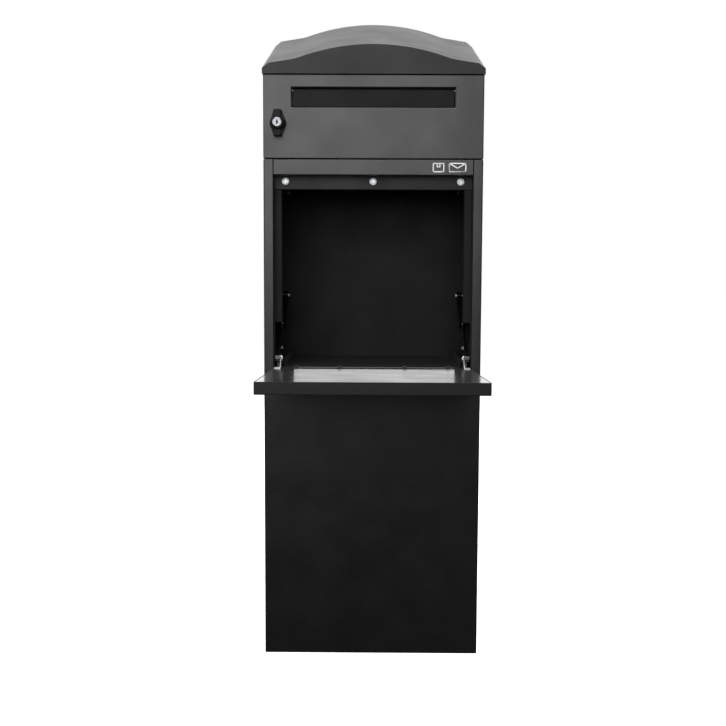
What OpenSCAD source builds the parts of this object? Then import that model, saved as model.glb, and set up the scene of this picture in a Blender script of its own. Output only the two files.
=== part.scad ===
// Free-standing steel drop box for parcels and letters, in millimetres.
// Origin at the centre of the underside of the base, front towards -Y, +Z up.
// It is drawn as it stands in use, with the parcel flap down and both doors shut.

/* [Casing] */
// Width of the casing
casing_w = 400; // [396:1:410]
// Depth of the casing, front to back
casing_d = 280; // [278:1:300]
// Height of the casing's front, up to the roof
casing_h = 1074; // [1070:1:1090]
// Thickness of the casing's sheet steel
sheet = 1.5; // [1.2:0.1:1.6]
// Width of the front columns beside the parcel opening
column_w = 18; // [17:0.5:20]
// Height of the top edge of the lower front panel
lower_panel_h = 519.5; // [515:0.5:520]

/* [Roof] */
// Slope of the roof up towards the back, in degrees
roof_slope = 18.6; // [14:0.2:20]
// Height of the wave's crest above the bottom of the roof's front
roof_crest_h = 53; // [50:1:58]
// Radius of the roof's rounded middle
roof_crest_r = 395; // [380:5:410]

/* [Letter door] */
// Height of the door's bottom edge
mail_door_z = 923; // [923:0.5:924]
// Depth of the door's folded edges
mail_door_fold = 18; // [16:1:18]
// Width of the letter slot
slot_w = 296; // [280:1:298]
// Height of the letter slot
slot_h = 35; // [33:1:38]
// Height of the bottom of the letter slot
slot_z = 1015; // [1010:1:1018]

/* [Parcel flap] */
// Height of the flap's pivot
flap_axis_z = 531; // [530.5:0.5:533]
// Length of the flap from its pivot to its free edge
flap_len = 361; // [355:1:361]
// Thickness of the flap
flap_t = 20; // [20:0.5:21]
// How far the open flap leans above level, in degrees
flap_tilt = 2; // [0:0.5:3]
// Distance from the front to the back edge of the drop tray
tray_reach = 262; // [240:1:262]

/* [Rear door] */
// Width of the opening in the back panel
rear_opening_w = 325; // [300:1:330]
// Height of the bottom of the opening in the back panel
rear_opening_z = 70; // [60:1:90]
// Height of the opening in the back panel
rear_opening_h = 412; // [380:1:414]

/* [Hidden] */
$fn = 64;
half_w = casing_w / 2;
inner_half = half_w - sheet;
opening_half = half_w - column_w;
front = -casing_d / 2;
back = casing_d / 2;

// How far a cut runs past the surface it leaves
over = 1;

// Base pan and its anchor holes
base_t = 2;
base_fold = 25;
anchor_x = 150;
anchor_y = 90;
anchor_r = 6;

// Front frame
panel_fold = 14;
column_top = 922;
column_leg_z = 500;
column_cap = 20;
wall_step = 21;
header_z = 894;
header_depth = 40;
frame_y = front + 25;
frame_half = opening_half - 13.7;
frame_lip = 12;
frame_bottom = 625;
bar_z = 869;
bar_top = 905;
pin_r = 4;
pin_in = 13;
pin_head_r = 6.5;
pin_head_t = 3.5;
running = 0.05;

// Bumpers: their places, outline from the middle outwards, and screws
bumper_x = [-161, 0, 161];
bumper_z = 884;
bumper_outline = [[2.1, 0], [7, 0], [7, 3.2], [6.3, 4.3], [5.4, 4.6], [4.2, 4.6], [3.9, 2.4], [2.1, 2.4]];
bumper_hole_r = 2;
bumper_screw_r = 1.9;
bumper_screw_len = 5;
bumper_head_r = 3.4;
bumper_head_y = [-3.8, -2.4];

// Letter floor, and the rail that holds the letter door's upper pin
mail_floor_y = front + 24;
rail_y = [front + 0.5, front + 24];
rail_z = casing_h + 1;

// Roof
wall_top = casing_h + 12;
roof_half = half_w + 1.8;
roof_front = front - 2;
roof_back = back + 1.8;
roof_z = casing_h + 0.5;
wave_angle = 19.5;
hollow_r = 100;
shoulder_angle = 9;
corner_x = 12;
corner_z = 9.5;
wave_steps = 13;
hollow_step = 1.5;
roof_below = -160;
roof_above = 250;
roof_run = [-150, 450];
roof_screw_z = casing_h + 6.5;
roof_screw_y = casing_d / 2 - 60;
roof_hole_r = 2.6;
roof_screw_r = 2.5;
roof_head_r = 4.5;
roof_head_t = 2.2;
roof_nut = 8;
roof_nut_t = 4;

// Letter door
mail_door_top = casing_h - 0.5;
mail_pin_x = half_w - 8;
mail_pin_y = front + 12;
mail_pin_r = 3;
mail_pin_len = 8;
mail_pin_top = 6;
mail_washer_r = 5;
mail_washer_t = 0.6;
mail_head_r = 4.5;
mail_head_top = 5;
slot_half = slot_w / 2;
slot_top = slot_z + slot_h;
slot_rim_y = front + 14;
slot_flange = 7;
slot_axis_y = front + 6.5;
slot_axis_z = slot_top - 4.5;
slot_rod_r = 1.5;
slot_curl_r = 2.6;
slot_curl_x = [-110, 0, 110];
slot_curl_half = 30;
slot_flap_y = [front + 3.9, front + 5.1];
slot_flap_gap = [2, 1, 1.5];
spring_x = 48;
spring_len = 14;
spring_core_r = 1.75;
spring_core_t = 0.5;
spring_coil_r = 2.1;
spring_wire = 0.9;
spring_gap = 2;
spring_notch = 3.5;
lock_x = -173;
lock_z = 986;
lock_hole_r = 9.5;
lock_body_r = 9.4;
lock_body_back = front + 19;
lock_spindle_r = 6;
collar_r = 15;
collar_t = 3;
lock_nut_af = 26;
lock_nut_t = 5;
plug_r = 8.2;
plug_proud = 0.6;
plug_len = 11.5;
plug_bore = 12;
key_half = [0.8, 4.2];
key_r = 1.8;
key_depth = 7;
knob_front = front - 22;
knob_back = front - 3.3;
knob_hub_r = 14;
knob_end_r = 6.75;
knob_end_z = 16.75;
knob_step = 5;
knob_wall = 2.6;
cam_y = front + 20.5;
cam_t = 3;
cam_len = 22;
cam_w = 16;
cam_hole_r = 2.1;
cam_bore = 12;
cam_screw_r = 2;
cam_screw_len = 10;
cam_head = 8;
cam_head_t = 3.5;

// Keeper on the left wall
keeper_y = [front + 18.6, front + 50];
keeper_z = [lock_z - 16, lock_z + 16];
keeper_t = 2;
keeper_reach = 12.5;
keeper_lip = 1.4;

// Parcel flap and its drop tray
flap_axis_y = front + flap_t / 2;
flap_half = opening_half - 1;
flap_r = flap_t / 2;
tray_half = 166;
tray_t = 1.5;
tray_lap = 25;
tray_back = front + tray_reach;
tray_lip = 14.5;
tray_hem = 8;
tray_lip_y = 20;
tray_rib_x = 100;
tray_rib_y = 30;
tray_rib_h = 12;
tray_screw_x = [-140, -60, 60, 140];
tray_hole_r = 2.1;
tray_screw_r = 2;
tray_head_r = 4;
tray_head_t = 2;
flap_bore_r = pin_r + 0.6;
stiffener_half = 30;
stiffener_gap = 30;
bush_len = 11;
bush_flat = 7.5;

// Gas struts: pin on the flap, pin on the wall and the body between them
strut_x = 175.5;
strut_pin = [4.1, 26.5];
strut_pin_y = flap_axis_y + strut_pin[0] * cos(flap_tilt) + strut_pin[1] * sin(flap_tilt);
strut_pin_z = flap_axis_z - strut_pin[0] * sin(flap_tilt) + strut_pin[1] * cos(flap_tilt);
strut_wall_y = front + 200;
strut_wall_z = 670;
strut_angle = atan2(strut_wall_z - strut_pin_z, strut_wall_y - strut_pin_y);
strut_len = norm([strut_wall_y - strut_pin_y, strut_wall_z - strut_pin_z]);
strut_tube_len = 110;
strut_tube_r = 7.5;
strut_bore_r = 6;
strut_gland_r = 4.3;
strut_rod_r = 3;
strut_eye_r = 8.5;
strut_eye_half = 5;
strut_neck_r = 4.5;
strut_neck = [6, 15];
strut_tube_top = 14;
strut_bore_top = 18;
strut_gland_len = 4;
strut_throat = 50;
strut_rod_top = 32;
strut_piston = [30, 36];
strut_piston_r = 4.9;
strut_socket_r = 4.6;
strut_socket = 16;
stud_gap = 0.7;
stud_head_r = 6;
stud_head_t = 2.5;
stud_nut = 13;
stud_nut_t = 6;

// Plates on the flap that carry the struts' lower studs
ear_x = strut_x - 7.5;
ear_t = 2;
ear_r = 8;
ear_y = [-30, 13];
ear_foot_y = [-30, -6];
ear_foot_x = strut_x + 4;
ear_neck = [7, 4];
ear_stud = [8.4, 5.2];
ear_head_r = 5.4;
ear_head_x = [9, 7.5];

// Wall brackets
bracket_x = 185;
bracket_t = 2;
bracket_y = [front + 176, front + 214];
bracket_z = [543, 690];
bracket_bolt_y = front + 195;
bracket_bolt_z = [565, 615];
bolt_r = 3;
bolt_head = 10;
bolt_head_t = 4;
hanger_x = 172;
hanger_y = [front + 185, front + 215];
hanger_z = 862;
hanger_bolt_z = 876;

// Rear door
rear_half = rear_opening_w / 2;
rear_top = rear_opening_z + rear_opening_h;
rear_flange = 15;
rear_gap = 2.5;
rear_fold = 12;
rear_pin_x = rear_half - 8.5;
rear_pin_y = back - 5;
rear_pin_r = 3;
rear_pin_out = 8;
rear_pin_in = 9;
rear_shoulder_r = 3.35;
rear_shoulder = 5;
rear_door_gap = 2;
rear_lock_x = -135;
rear_lock_z = 275;
rear_plug_r = 7;
rear_head_r = 11.5;
rear_head_t = 2.4;
rear_body_y = back - sheet - rear_flange + 0.2;
rear_nut_af = 24;
rear_nut_t = 5;
rear_key_half = [0.8, 4];
rear_key_depth = 5;
rear_cam_y = [back - rear_flange - 5, back - rear_flange - 2];
rear_cam_half = 8;
rear_cam_len = 38;

// ---- Building blocks ----

// A box between two coordinates on each axis
module block(x, y, z)
    translate([x[0], y[0], z[0]]) cube([x[1] - x[0], y[1] - y[0], z[1] - z[0]]);

// Round bars along each axis
module bar_x(r, x, y, z)
    translate([x[0], y, z]) rotate([0, 90, 0]) cylinder(r = r, h = x[1] - x[0]);

module bar_y(r, x, y, z)
    translate([x, y[1], z]) rotate([90, 0, 0]) cylinder(r = r, h = y[1] - y[0]);

module bar_z(r, x, y, z)
    translate([x, y, z[0]]) cylinder(r = r, h = z[1] - z[0]);

// Hexagons across the flats af, along X and along Y
module hex_x(af, x, y, z)
    translate([x[0], y, z]) rotate([0, 90, 0])
        cylinder(d = af / cos(30), h = x[1] - x[0], $fn = 6);

module hex_y(af, x, y, z)
    translate([x, y[1], z]) rotate([90, 0, 0])
        cylinder(d = af / cos(30), h = y[1] - y[0], $fn = 6);

// A rectangular hole's rim: the outer box less the inner one, both along Y
module rim(x, z, y, wall)
    difference() {
        block([x[0] - wall, x[1] + wall], y, [z[0] - wall, z[1] + wall]);
        block(x, [y[0] - over, y[1] + over], z);
    }

// Right-hand shapes put on the left or on both sides
module on_side(side) {
    if (side < 0) mirror([1, 0, 0]) children();
    else children();
}

module both_sides() {
    children();
    mirror([1, 0, 0]) children();
}

// ---- Casing ----

// Bottom pan with four holes for the ground anchors
module base_plate() color([0.06, 0.06, 0.065])
    difference() {
        union() {
            block([-inner_half, inner_half], [front + sheet, back - sheet], [0, base_t]);
            for (y = [front + sheet, back - 2 * sheet])
                block([-inner_half, inner_half], [y, y + sheet], [0, base_fold]);
            both_sides()
                block([inner_half - sheet, inner_half], [front + sheet, back - sheet], [0, base_fold]);
        }
        for (x = [-anchor_x, anchor_x], y = [-anchor_y, anchor_y])
            bar_z(anchor_r, x, y, [-over, base_t + over]);
    }

// Plain front below the flap, with its top edge folded back
module front_panel() color([0.07, 0.07, 0.075]) {
    block([-half_w, half_w], [front, front + sheet], [0, lower_panel_h]);
    block([-opening_half, opening_half], [front, front + panel_fold],
        [lower_panel_h - sheet, lower_panel_h]);
}

// Folded column beside the opening, with a capped top
module column(side) color([0.08, 0.08, 0.085]) on_side(side)
    difference() {
        union() {
            block([opening_half, half_w], [front, front + sheet], [lower_panel_h, column_top]);
            block([opening_half, opening_half + sheet], [front + sheet, frame_y],
                [column_leg_z, column_top]);
            block([opening_half, inner_half], [front, front + column_cap],
                [column_top - sheet, column_top]);
        }
        bar_x(pin_r, [opening_half - over, opening_half + 2 * sheet], flap_axis_y, flap_axis_z);
        bar_z(mail_pin_r, mail_pin_x, mail_pin_y, [column_top - 2 * sheet, column_top + over]);
    }

// Side wall, set back above the columns so that the letter door closes over it
module side_panel(side) color([0.07, 0.07, 0.075]) on_side(side)
    difference() {
        union() {
            block([inner_half, half_w], [front + sheet, back], [0, column_top]);
            block([inner_half, half_w], [front + wall_step, back], [column_top - over, wall_top]);
        }
        for (y = [-roof_screw_y, roof_screw_y])
            bar_x(roof_hole_r, [inner_half - over, half_w + over], y, roof_screw_z);
    }

// Back wall with a flanged opening for the rear door
module back_panel() color([0.07, 0.07, 0.075])
    difference() {
        union() {
            difference() {
                block([-inner_half, inner_half], [back - sheet, back], [0, wall_top]);
                block([-rear_half, rear_half], [back - 2 * sheet, back + over],
                    [rear_opening_z, rear_top]);
            }
            rim([-rear_half, rear_half], [rear_opening_z, rear_top],
                [back - sheet - rear_flange, back - sheet], sheet);
        }
        for (z = [rear_opening_z, rear_top])
            bar_z(rear_pin_r, rear_pin_x, rear_pin_y, [z - rear_shoulder, z + rear_shoulder]);
    }

// Channel across the front between the letter door and the parcel opening
module header_rail() color([0.08, 0.08, 0.085]) {
    block([-opening_half, opening_half], [front, front + sheet], [header_z, column_top]);
    block([-opening_half, opening_half], [front, frame_y], [header_z, header_z + sheet]);
    block([-opening_half, opening_half], [front, front + header_depth],
        [column_top - sheet, column_top]);
}

// Recessed bar that the shut flap closes against
module opening_frame_top() color([0.06, 0.06, 0.065])
    difference() {
        union() {
            block([-opening_half, opening_half], [frame_y, frame_y + sheet], [bar_z, bar_top]);
            block([-opening_half, opening_half], [frame_y, frame_y + frame_lip], [bar_z, bar_z + sheet]);
        }
        for (x = bumper_x)
            bar_y(bumper_hole_r, x, [frame_y - over, frame_y + 2 * sheet], bumper_z);
    }

// Recessed strip beside the opening, cut short above the strut
module opening_frame_side(side) color([0.06, 0.06, 0.065]) on_side(side) {
    block([frame_half, inner_half], [frame_y, frame_y + sheet], [frame_bottom, bar_z]);
    block([frame_half, frame_half + sheet], [frame_y, frame_y + frame_lip], [frame_bottom, bar_z]);
}

// Floor of the letter compartment
module mail_floor() color([0.06, 0.06, 0.065])
    block([-inner_half, inner_half], [mail_floor_y, back - sheet], [column_top, column_top + sheet]);

// Folded hanger that carries the letter floor on the side wall
module floor_hanger(side) color([0.06, 0.06, 0.065]) on_side(side)
    difference() {
        union() {
            block([hanger_x, hanger_x + bracket_t], hanger_y, [hanger_z, column_top]);
            block([hanger_x, inner_half], hanger_y, [hanger_z, hanger_z + bracket_t]);
            block([hanger_x, inner_half], hanger_y, [column_top - bracket_t, column_top]);
        }
        bar_x(bolt_r, [hanger_x - over, hanger_x + bracket_t + over], strut_wall_y, hanger_bolt_z);
    }

// Rail under the roof's front, which holds the letter door's upper pin
module upper_rail() color([0.06, 0.06, 0.065])
    difference() {
        union() {
            block([-inner_half, inner_half], rail_y, [rail_z, rail_z + sheet]);
            block([-inner_half, inner_half], [rail_y[1] - sheet, rail_y[1]], [rail_z, wall_top]);
        }
        bar_z(mail_pin_r, mail_pin_x, mail_pin_y, [casing_h - over, rail_z + 2 * sheet]);
    }

// Half of the roof's outline: rounded crest, hollow, straight shoulder, cut corner.
// inset makes the same outline for the underside of the sheet.
function crest_points(inset) = [for (i = [0 : wave_steps], a = [wave_angle * i / wave_steps])
    [(roof_crest_r - inset) * sin(a), roof_crest_h - roof_crest_r + (roof_crest_r - inset) * cos(a)]];
function hollow_x() = (roof_crest_r + hollow_r) * sin(wave_angle);
function hollow_z() = roof_crest_h - roof_crest_r + (roof_crest_r + hollow_r) * cos(wave_angle);
function hollow_points(inset) = [for (a = [wave_angle : -hollow_step : shoulder_angle])
    [hollow_x() - (hollow_r + inset) * sin(a), hollow_z() - (hollow_r + inset) * cos(a)]];
function shoulder_z(x, inset) = let (
    sx = hollow_x() - (hollow_r + inset) * sin(shoulder_angle),
    sz = hollow_z() - (hollow_r + inset) * cos(shoulder_angle))
    sz - (x - sx) * tan(shoulder_angle);
function corner_points(inset) = let (x = roof_half - corner_x - inset * 0.3)
    [[x, shoulder_z(x, inset)], [roof_half - inset, shoulder_z(x, inset) - corner_z + inset * 0.3],
    [roof_half - inset, roof_below]];
function half_outline(inset) = concat(crest_points(inset), hollow_points(inset), corner_points(inset));
function outline(inset) = let (h = half_outline(inset), n = len(h))
    [for (p = concat(h, [for (i = [n - 1 : -1 : 1]) [-h[i][0], h[i][1]]])) [p[0], p[1] * cos(roof_slope)]];

// Everything under the roof's surface, between its front and back
module roof_block(inset, bottom)
    intersection() {
        block([-roof_half, roof_half], [roof_front + inset, roof_back - inset], 
            [bottom, casing_h + roof_above]);
        translate([0, roof_front, casing_h]) rotate([roof_slope, 0, 0]) translate([0, roof_run[1], 0])
            rotate([90, 0, 0]) linear_extrude(height = roof_run[1] - roof_run[0]) polygon(outline(inset));
    }

// Folded and welded roof that fits over the walls
module roof_cap() color([0.09, 0.09, 0.095])
    difference() {
        roof_block(0, roof_z);
        roof_block(sheet, roof_z - over);
        both_sides() for (y = [-roof_screw_y, roof_screw_y])
            bar_x(roof_hole_r, [half_w - over, roof_half + over], y, roof_screw_z);
    }

// Button-head screws with nuts that hold the roof on the side walls
module roof_screws() color([0.12, 0.12, 0.12])
    both_sides() for (y = [-roof_screw_y, roof_screw_y]) {
        bar_x(roof_head_r, [roof_half, roof_half + roof_head_t], y, roof_screw_z);
        bar_x(roof_screw_r, [inner_half, roof_half + over], y, roof_screw_z);
        hex_x(roof_nut, [inner_half - roof_nut_t, inner_half], y, roof_screw_z);
    }

// Soft stops on the recessed bar
module flap_bumpers() color([0.75, 0.76, 0.77])
    for (x = bumper_x)
        translate([x, frame_y, bumper_z]) rotate([90, 0, 0]) rotate_extrude() polygon(bumper_outline);

module bumper_screws() color([0.8, 0.8, 0.8])
    for (x = bumper_x) {
        bar_y(bumper_head_r, x, [frame_y + bumper_head_y[0], frame_y + bumper_head_y[1]], bumper_z);
        bar_y(bumper_screw_r, x, [frame_y + bumper_head_y[0] + over, frame_y + bumper_screw_len], bumper_z);
    }

// Headed pins in the columns that the flap turns on
module flap_pivot_pins() color([0.7, 0.7, 0.72])
    both_sides() {
        bar_x(pin_r, [opening_half - pin_in, opening_half + sheet + over], flap_axis_y, flap_axis_z);
        bar_x(pin_head_r, [opening_half + sheet, opening_half + sheet + pin_head_t], flap_axis_y,
            flap_axis_z);
    }

// Folded upright on the side wall that carries the strut's upper pin
module strut_bracket(side) color([0.06, 0.06, 0.065]) on_side(side)
    difference() {
        union() {
            block([bracket_x, bracket_x + bracket_t], bracket_y, bracket_z);
            block([bracket_x, inner_half], [bracket_y[0], bracket_y[0] + bracket_t], bracket_z);
            block([bracket_x, inner_half], [bracket_y[1] - bracket_t, bracket_y[1]], bracket_z);
        }
        bar_x(pin_r, [bracket_x - over, bracket_x + bracket_t + over], strut_wall_y, strut_wall_z);
        for (z = bracket_bolt_z)
            bar_x(bolt_r, [bracket_x - over, bracket_x + bracket_t + over], bracket_bolt_y, z);
    }

// Shouldered studs for the struts' wall ends
module strut_wall_studs() color([0.75, 0.75, 0.77]) {
    eye = strut_eye_half + stud_gap;
    nut_x = bracket_x + bracket_t;
    both_sides() {
        bar_x(stud_head_r, [strut_x - eye - stud_head_t, strut_x - eye], strut_wall_y, strut_wall_z);
        bar_x(pin_r, [strut_x - strut_eye_half - over, nut_x + over], strut_wall_y, strut_wall_z);
        bar_x(stud_head_r, [strut_x + eye, bracket_x], strut_wall_y, strut_wall_z);
        hex_x(stud_nut, [nut_x, nut_x + stud_nut_t], strut_wall_y, strut_wall_z);
    }
}

// Hexagon bolts of the strut brackets and the floor hangers
module bracket_bolts() color([0.7, 0.7, 0.72])
    both_sides() {
        for (z = bracket_bolt_z) {
            hex_x(bolt_head, [bracket_x - bolt_head_t, bracket_x], bracket_bolt_y, z);
            bar_x(bolt_r, [bracket_x - over, inner_half], bracket_bolt_y, z);
        }
        hex_x(bolt_head, [hanger_x - bolt_head_t, hanger_x], strut_wall_y, hanger_bolt_z);
        bar_x(bolt_r, [hanger_x - over, inner_half], strut_wall_y, hanger_bolt_z);
    }

// Lower and upper pins of the letter door
module mail_door_pins() color([0.7, 0.7, 0.72]) {
    bar_z(mail_pin_r, mail_pin_x, mail_pin_y, [column_top - mail_pin_len, column_top + mail_pin_len]);
    bar_z(mail_washer_r, mail_pin_x, mail_pin_y, [column_top, column_top + mail_washer_t]);
    bar_z(mail_pin_r, mail_pin_x, mail_pin_y, [casing_h - mail_pin_len, casing_h + mail_pin_top]);
    bar_z(mail_head_r, mail_pin_x, mail_pin_y, [rail_z + sheet, casing_h + mail_head_top]);
}

// Angle on the left wall that the letter door's cam turns behind
module lock_keeper() color([0.6, 0.6, 0.62]) {
    block([-inner_half, keeper_t - inner_half], [front + wall_step, keeper_y[1]], keeper_z);
    block([-inner_half, keeper_reach - inner_half], [keeper_y[0], keeper_y[0] + keeper_lip], keeper_z);
    block([-inner_half, keeper_lip - inner_half], [keeper_y[0], front + wall_step + over], keeper_z);
}

// Upper and lower pins of the rear door
module rear_hinge_pins() color([0.7, 0.7, 0.72]) {
    bar_z(rear_pin_r, rear_pin_x, rear_pin_y,
        [rear_opening_z - rear_pin_out, rear_opening_z + rear_pin_in]);
    bar_z(rear_shoulder_r, rear_pin_x, rear_pin_y,
        [rear_opening_z - rear_shoulder, rear_opening_z - sheet]);
    bar_z(rear_pin_r, rear_pin_x, rear_pin_y, [rear_top - rear_pin_in, rear_top + rear_pin_out]);
    bar_z(rear_shoulder_r, rear_pin_x, rear_pin_y, [rear_top + sheet, rear_top + rear_shoulder]);
}

// ---- Letter door ----

// Folded door with the letter slot and the lock's hole
module mail_door_panel() color([0.08, 0.08, 0.085])
    difference() {
        union() {
            block([-half_w, half_w], [front, front + sheet], [mail_door_z, mail_door_top]);
            both_sides()
                block([inner_half, half_w], [front, front + mail_door_fold], [mail_door_z, mail_door_top]);
            for (z = [mail_door_z, mail_door_top - sheet])
                block([-half_w, half_w], [front, front + mail_door_fold], [z, z + sheet]);
        }
        block([-slot_half, slot_half], [front - over, front + sheet + over], [slot_z, slot_top]);
        bar_y(lock_hole_r, lock_x, [front - over, front + sheet + over], lock_z);
        bar_z(mail_pin_r + running, mail_pin_x, mail_pin_y,
            [mail_door_z - over, mail_door_top + over]);
    }

// Rim behind the slot, with a flange welded to the door
module slot_frame() color([0.06, 0.06, 0.065])
    difference() {
        union() {
            rim([-slot_half, slot_half], [slot_z, slot_top], [front + sheet, slot_rim_y], sheet);
            rim([-slot_half, slot_half], [slot_z, slot_top], [front + sheet, front + 2 * sheet],
                slot_flange);
        }
        bar_x(slot_rod_r, [-slot_half - 2 * sheet, slot_half + 2 * sheet], slot_axis_y, slot_axis_z);
    }

module slot_flap_rod() color([0.7, 0.7, 0.72])
    bar_x(slot_rod_r, [-slot_half - sheet, slot_half + sheet], slot_axis_y, slot_axis_z);

// Small coil springs on the rod between the flap's curls
module slot_springs() color([0.6, 0.6, 0.6])
    both_sides() translate([spring_x, slot_axis_y, slot_axis_z]) rotate([0, 90, 0]) rotate_extrude()
        union() {
            translate([spring_core_r, 0]) square([spring_core_t, spring_len]);
            for (i = [0 : spring_len - 1])
                translate([spring_coil_r, i + 0.5]) circle(d = spring_wire, $fn = 16);
        }

// Fixed body of the wing-knob lock, with a collar on the door's face
module lock_housing() color([0.07, 0.07, 0.07])
    difference() {
        union() {
            bar_y(collar_r, lock_x, [front - collar_t, front], lock_z);
            bar_y(lock_body_r, lock_x, [front - over, lock_body_back], lock_z);
        }
        bar_y(lock_spindle_r + running, lock_x, [front - collar_t - over, lock_body_back + over], lock_z);
    }

module lock_nut() color([0.6, 0.6, 0.62])
    difference() {
        hex_y(lock_nut_af, lock_x, [front + sheet, front + sheet + lock_nut_t], lock_z);
        bar_y(lock_hole_r, lock_x, [front, front + 2 * sheet + lock_nut_t], lock_z);
    }

// Letter flap that hangs inside the slot and swings inwards, notched round its two springs
module slot_flap() color([0.05, 0.05, 0.055])
    difference() {
        union() {
            block([slot_flap_gap[0] - slot_half, slot_half - slot_flap_gap[0]], slot_flap_y,
                [slot_z + slot_flap_gap[1], slot_top - slot_flap_gap[2]]);
            for (x = slot_curl_x)
                bar_x(slot_curl_r, [x - slot_curl_half, x + slot_curl_half], slot_axis_y, slot_axis_z);
        }
        bar_x(slot_rod_r + running, [-slot_half, slot_half], slot_axis_y, slot_axis_z);
        both_sides()
            block([spring_x - spring_gap, spring_x + spring_len + spring_gap],
                [slot_flap_y[0] - over, slot_flap_y[1] + over], [slot_axis_z - spring_notch, slot_top]);
    }

// Outline of the wing knob: a round hub drawn out to two small rounded ends
module knob_outline() {
    tangent = asin((knob_hub_r - knob_end_r) / knob_end_z);
    wide = [knob_hub_r * cos(tangent), knob_hub_r * sin(tangent)];
    narrow = [knob_end_r * cos(tangent), knob_end_z + knob_end_r * sin(tangent)];
    circle(r = knob_hub_r);
    for (s = [-1, 1]) {
        translate([0, s * knob_end_z]) circle(r = knob_end_r);
        polygon([[-wide[0], s * wide[1]], [-narrow[0], s * narrow[1]],
            [narrow[0], s * narrow[1]], [wide[0], s * wide[1]]]);
    }
    square([2 * wide[0], 2 * wide[1]], center = true);
}

// Wing knob with its spindle, bored for the key plug
module lock_knob() color([0.05, 0.05, 0.05])
    difference() {
        union() {
            translate([lock_x, knob_back, lock_z]) rotate([90, 0, 0])
                linear_extrude(height = knob_back - knob_front - knob_step) knob_outline();
            bar_y(plug_r + knob_wall, lock_x, [knob_front, knob_back], lock_z);
            bar_y(lock_spindle_r, lock_x, [knob_back - over, cam_y], lock_z);
        }
        bar_y(plug_r + running, lock_x, [knob_front - over, knob_front + plug_bore], lock_z);
        bar_y(cam_hole_r, lock_x, [cam_y - cam_bore, cam_y + over], lock_z);
    }

// Flat cam on the spindle's end, hanging down when the door is unlocked
module lock_cam() color([0.6, 0.6, 0.62])
    difference() {
        union() {
            bar_y(cam_w / 2, lock_x, [cam_y, cam_y + cam_t], lock_z);
            block([lock_x - cam_w / 2, lock_x + cam_w / 2], [cam_y, cam_y + cam_t],
                [lock_z - cam_len, lock_z]);
        }
        bar_y(cam_hole_r, lock_x, [cam_y - over, cam_y + cam_t + over], lock_z);
    }

module cam_screw() color([0.7, 0.7, 0.72]) {
    hex_y(cam_head, lock_x, [cam_y + cam_t, cam_y + cam_t + cam_head_t], lock_z);
    bar_y(cam_screw_r, lock_x, [cam_y - cam_screw_len, cam_y + cam_t + over], lock_z);
}

// Key plug with an upright keyhole
module lock_plug() color([0.8, 0.8, 0.82])
    difference() {
        bar_y(plug_r, lock_x, [knob_front - plug_proud, knob_front + plug_len], lock_z);
        block([lock_x - key_half[0], lock_x + key_half[0]],
            [knob_front - plug_proud - over, knob_front + key_depth],
            [lock_z - key_half[1], lock_z + key_half[1]]);
        bar_y(key_r, lock_x, [knob_front - plug_proud - over, knob_front + key_depth], lock_z);
    }

// ---- Parcel flap ----

// Puts a shape drawn about the flap's pivot, with the flap level along -Y, in its place
module flap_place()
    translate([0, flap_axis_y, flap_axis_z]) rotate([-flap_tilt, 0, 0]) children();

// Outer pan: lower face, folded edges and a heel that is rolled round the pivot
module flap_outer_skin() color([0.07, 0.07, 0.075]) flap_place()
    difference() {
        union() {
            block([-flap_half, flap_half], [-flap_len, 0], [-flap_r, sheet - flap_r]);
            block([-flap_half, flap_half], [-flap_len, sheet - flap_len], [-flap_r, flap_r]);
            both_sides() {
                block([flap_half - sheet, flap_half], [-flap_len, 0], [-flap_r, flap_r]);
                bar_x(flap_r, [flap_half - sheet, flap_half], 0, 0);
            }
            intersection() {
                difference() {
                    bar_x(flap_r, [-flap_half, flap_half], 0, 0);
                    bar_x(flap_r - sheet, [-flap_half - over, flap_half + over], 0, 0);
                }
                block([-flap_half, flap_half], [0, flap_t], [-flap_t, flap_t]);
            }
        }
        bar_x(flap_bore_r, [-flap_half - over, flap_half + over], 0, 0);
    }

// Inner cover, flush with the folded edges
module flap_inner_skin() color([0.09, 0.09, 0.095]) flap_place()
    difference() {
        block([sheet - flap_half, flap_half - sheet], [sheet - flap_len, 0], [flap_r - sheet, flap_r]);
        for (x = tray_screw_x)
            bar_z(tray_hole_r, x, -tray_lap / 2, [flap_r - 2 * sheet, flap_r + over]);
    }

// Channel between the two skins
module flap_stiffener() color([0.06, 0.06, 0.065]) flap_place() {
    span = [stiffener_gap - flap_len, -stiffener_gap];
    block([-stiffener_half, stiffener_half], span, [sheet - flap_r, 2 * sheet - flap_r]);
    both_sides()
        block([stiffener_half - sheet, stiffener_half], span, [sheet - flap_r, flap_r - sheet]);
}

// Nylon bushes inside the heel, running on the pivot pins
module flap_bushes() color([0.85, 0.84, 0.8]) flap_place()
    both_sides() difference() {
        bar_x(flap_r - sheet, [flap_half - sheet - bush_len, flap_half - sheet], 0, 0);
        bar_x(pin_r + running, [flap_half - flap_t, flap_half], 0, 0);
        block([flap_half - flap_t, flap_half], [-flap_t, -bush_flat], [-flap_t, flap_t]);
    }

// Bright plates beside the heel that carry the struts' lower studs
module flap_strut_brackets() color([0.75, 0.76, 0.78]) flap_place()
    both_sides() difference() {
        union() {
            translate([ear_x, 0, 0]) rotate([90, 0, 90]) linear_extrude(height = ear_t) union() {
                translate(strut_pin) circle(r = ear_r);
                polygon([[ear_y[0], flap_r], [ear_y[1], flap_r], [strut_pin[0] + ear_r, strut_pin[1]],
                    [strut_pin[0] - ear_neck[0], strut_pin[1] + ear_neck[1]]]);
            }
            block([ear_x, ear_foot_x], ear_foot_y, [flap_r, flap_r + ear_t]);
        }
        bar_x(pin_r, [ear_x - over, strut_x], strut_pin[0], strut_pin[1]);
    }

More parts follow.
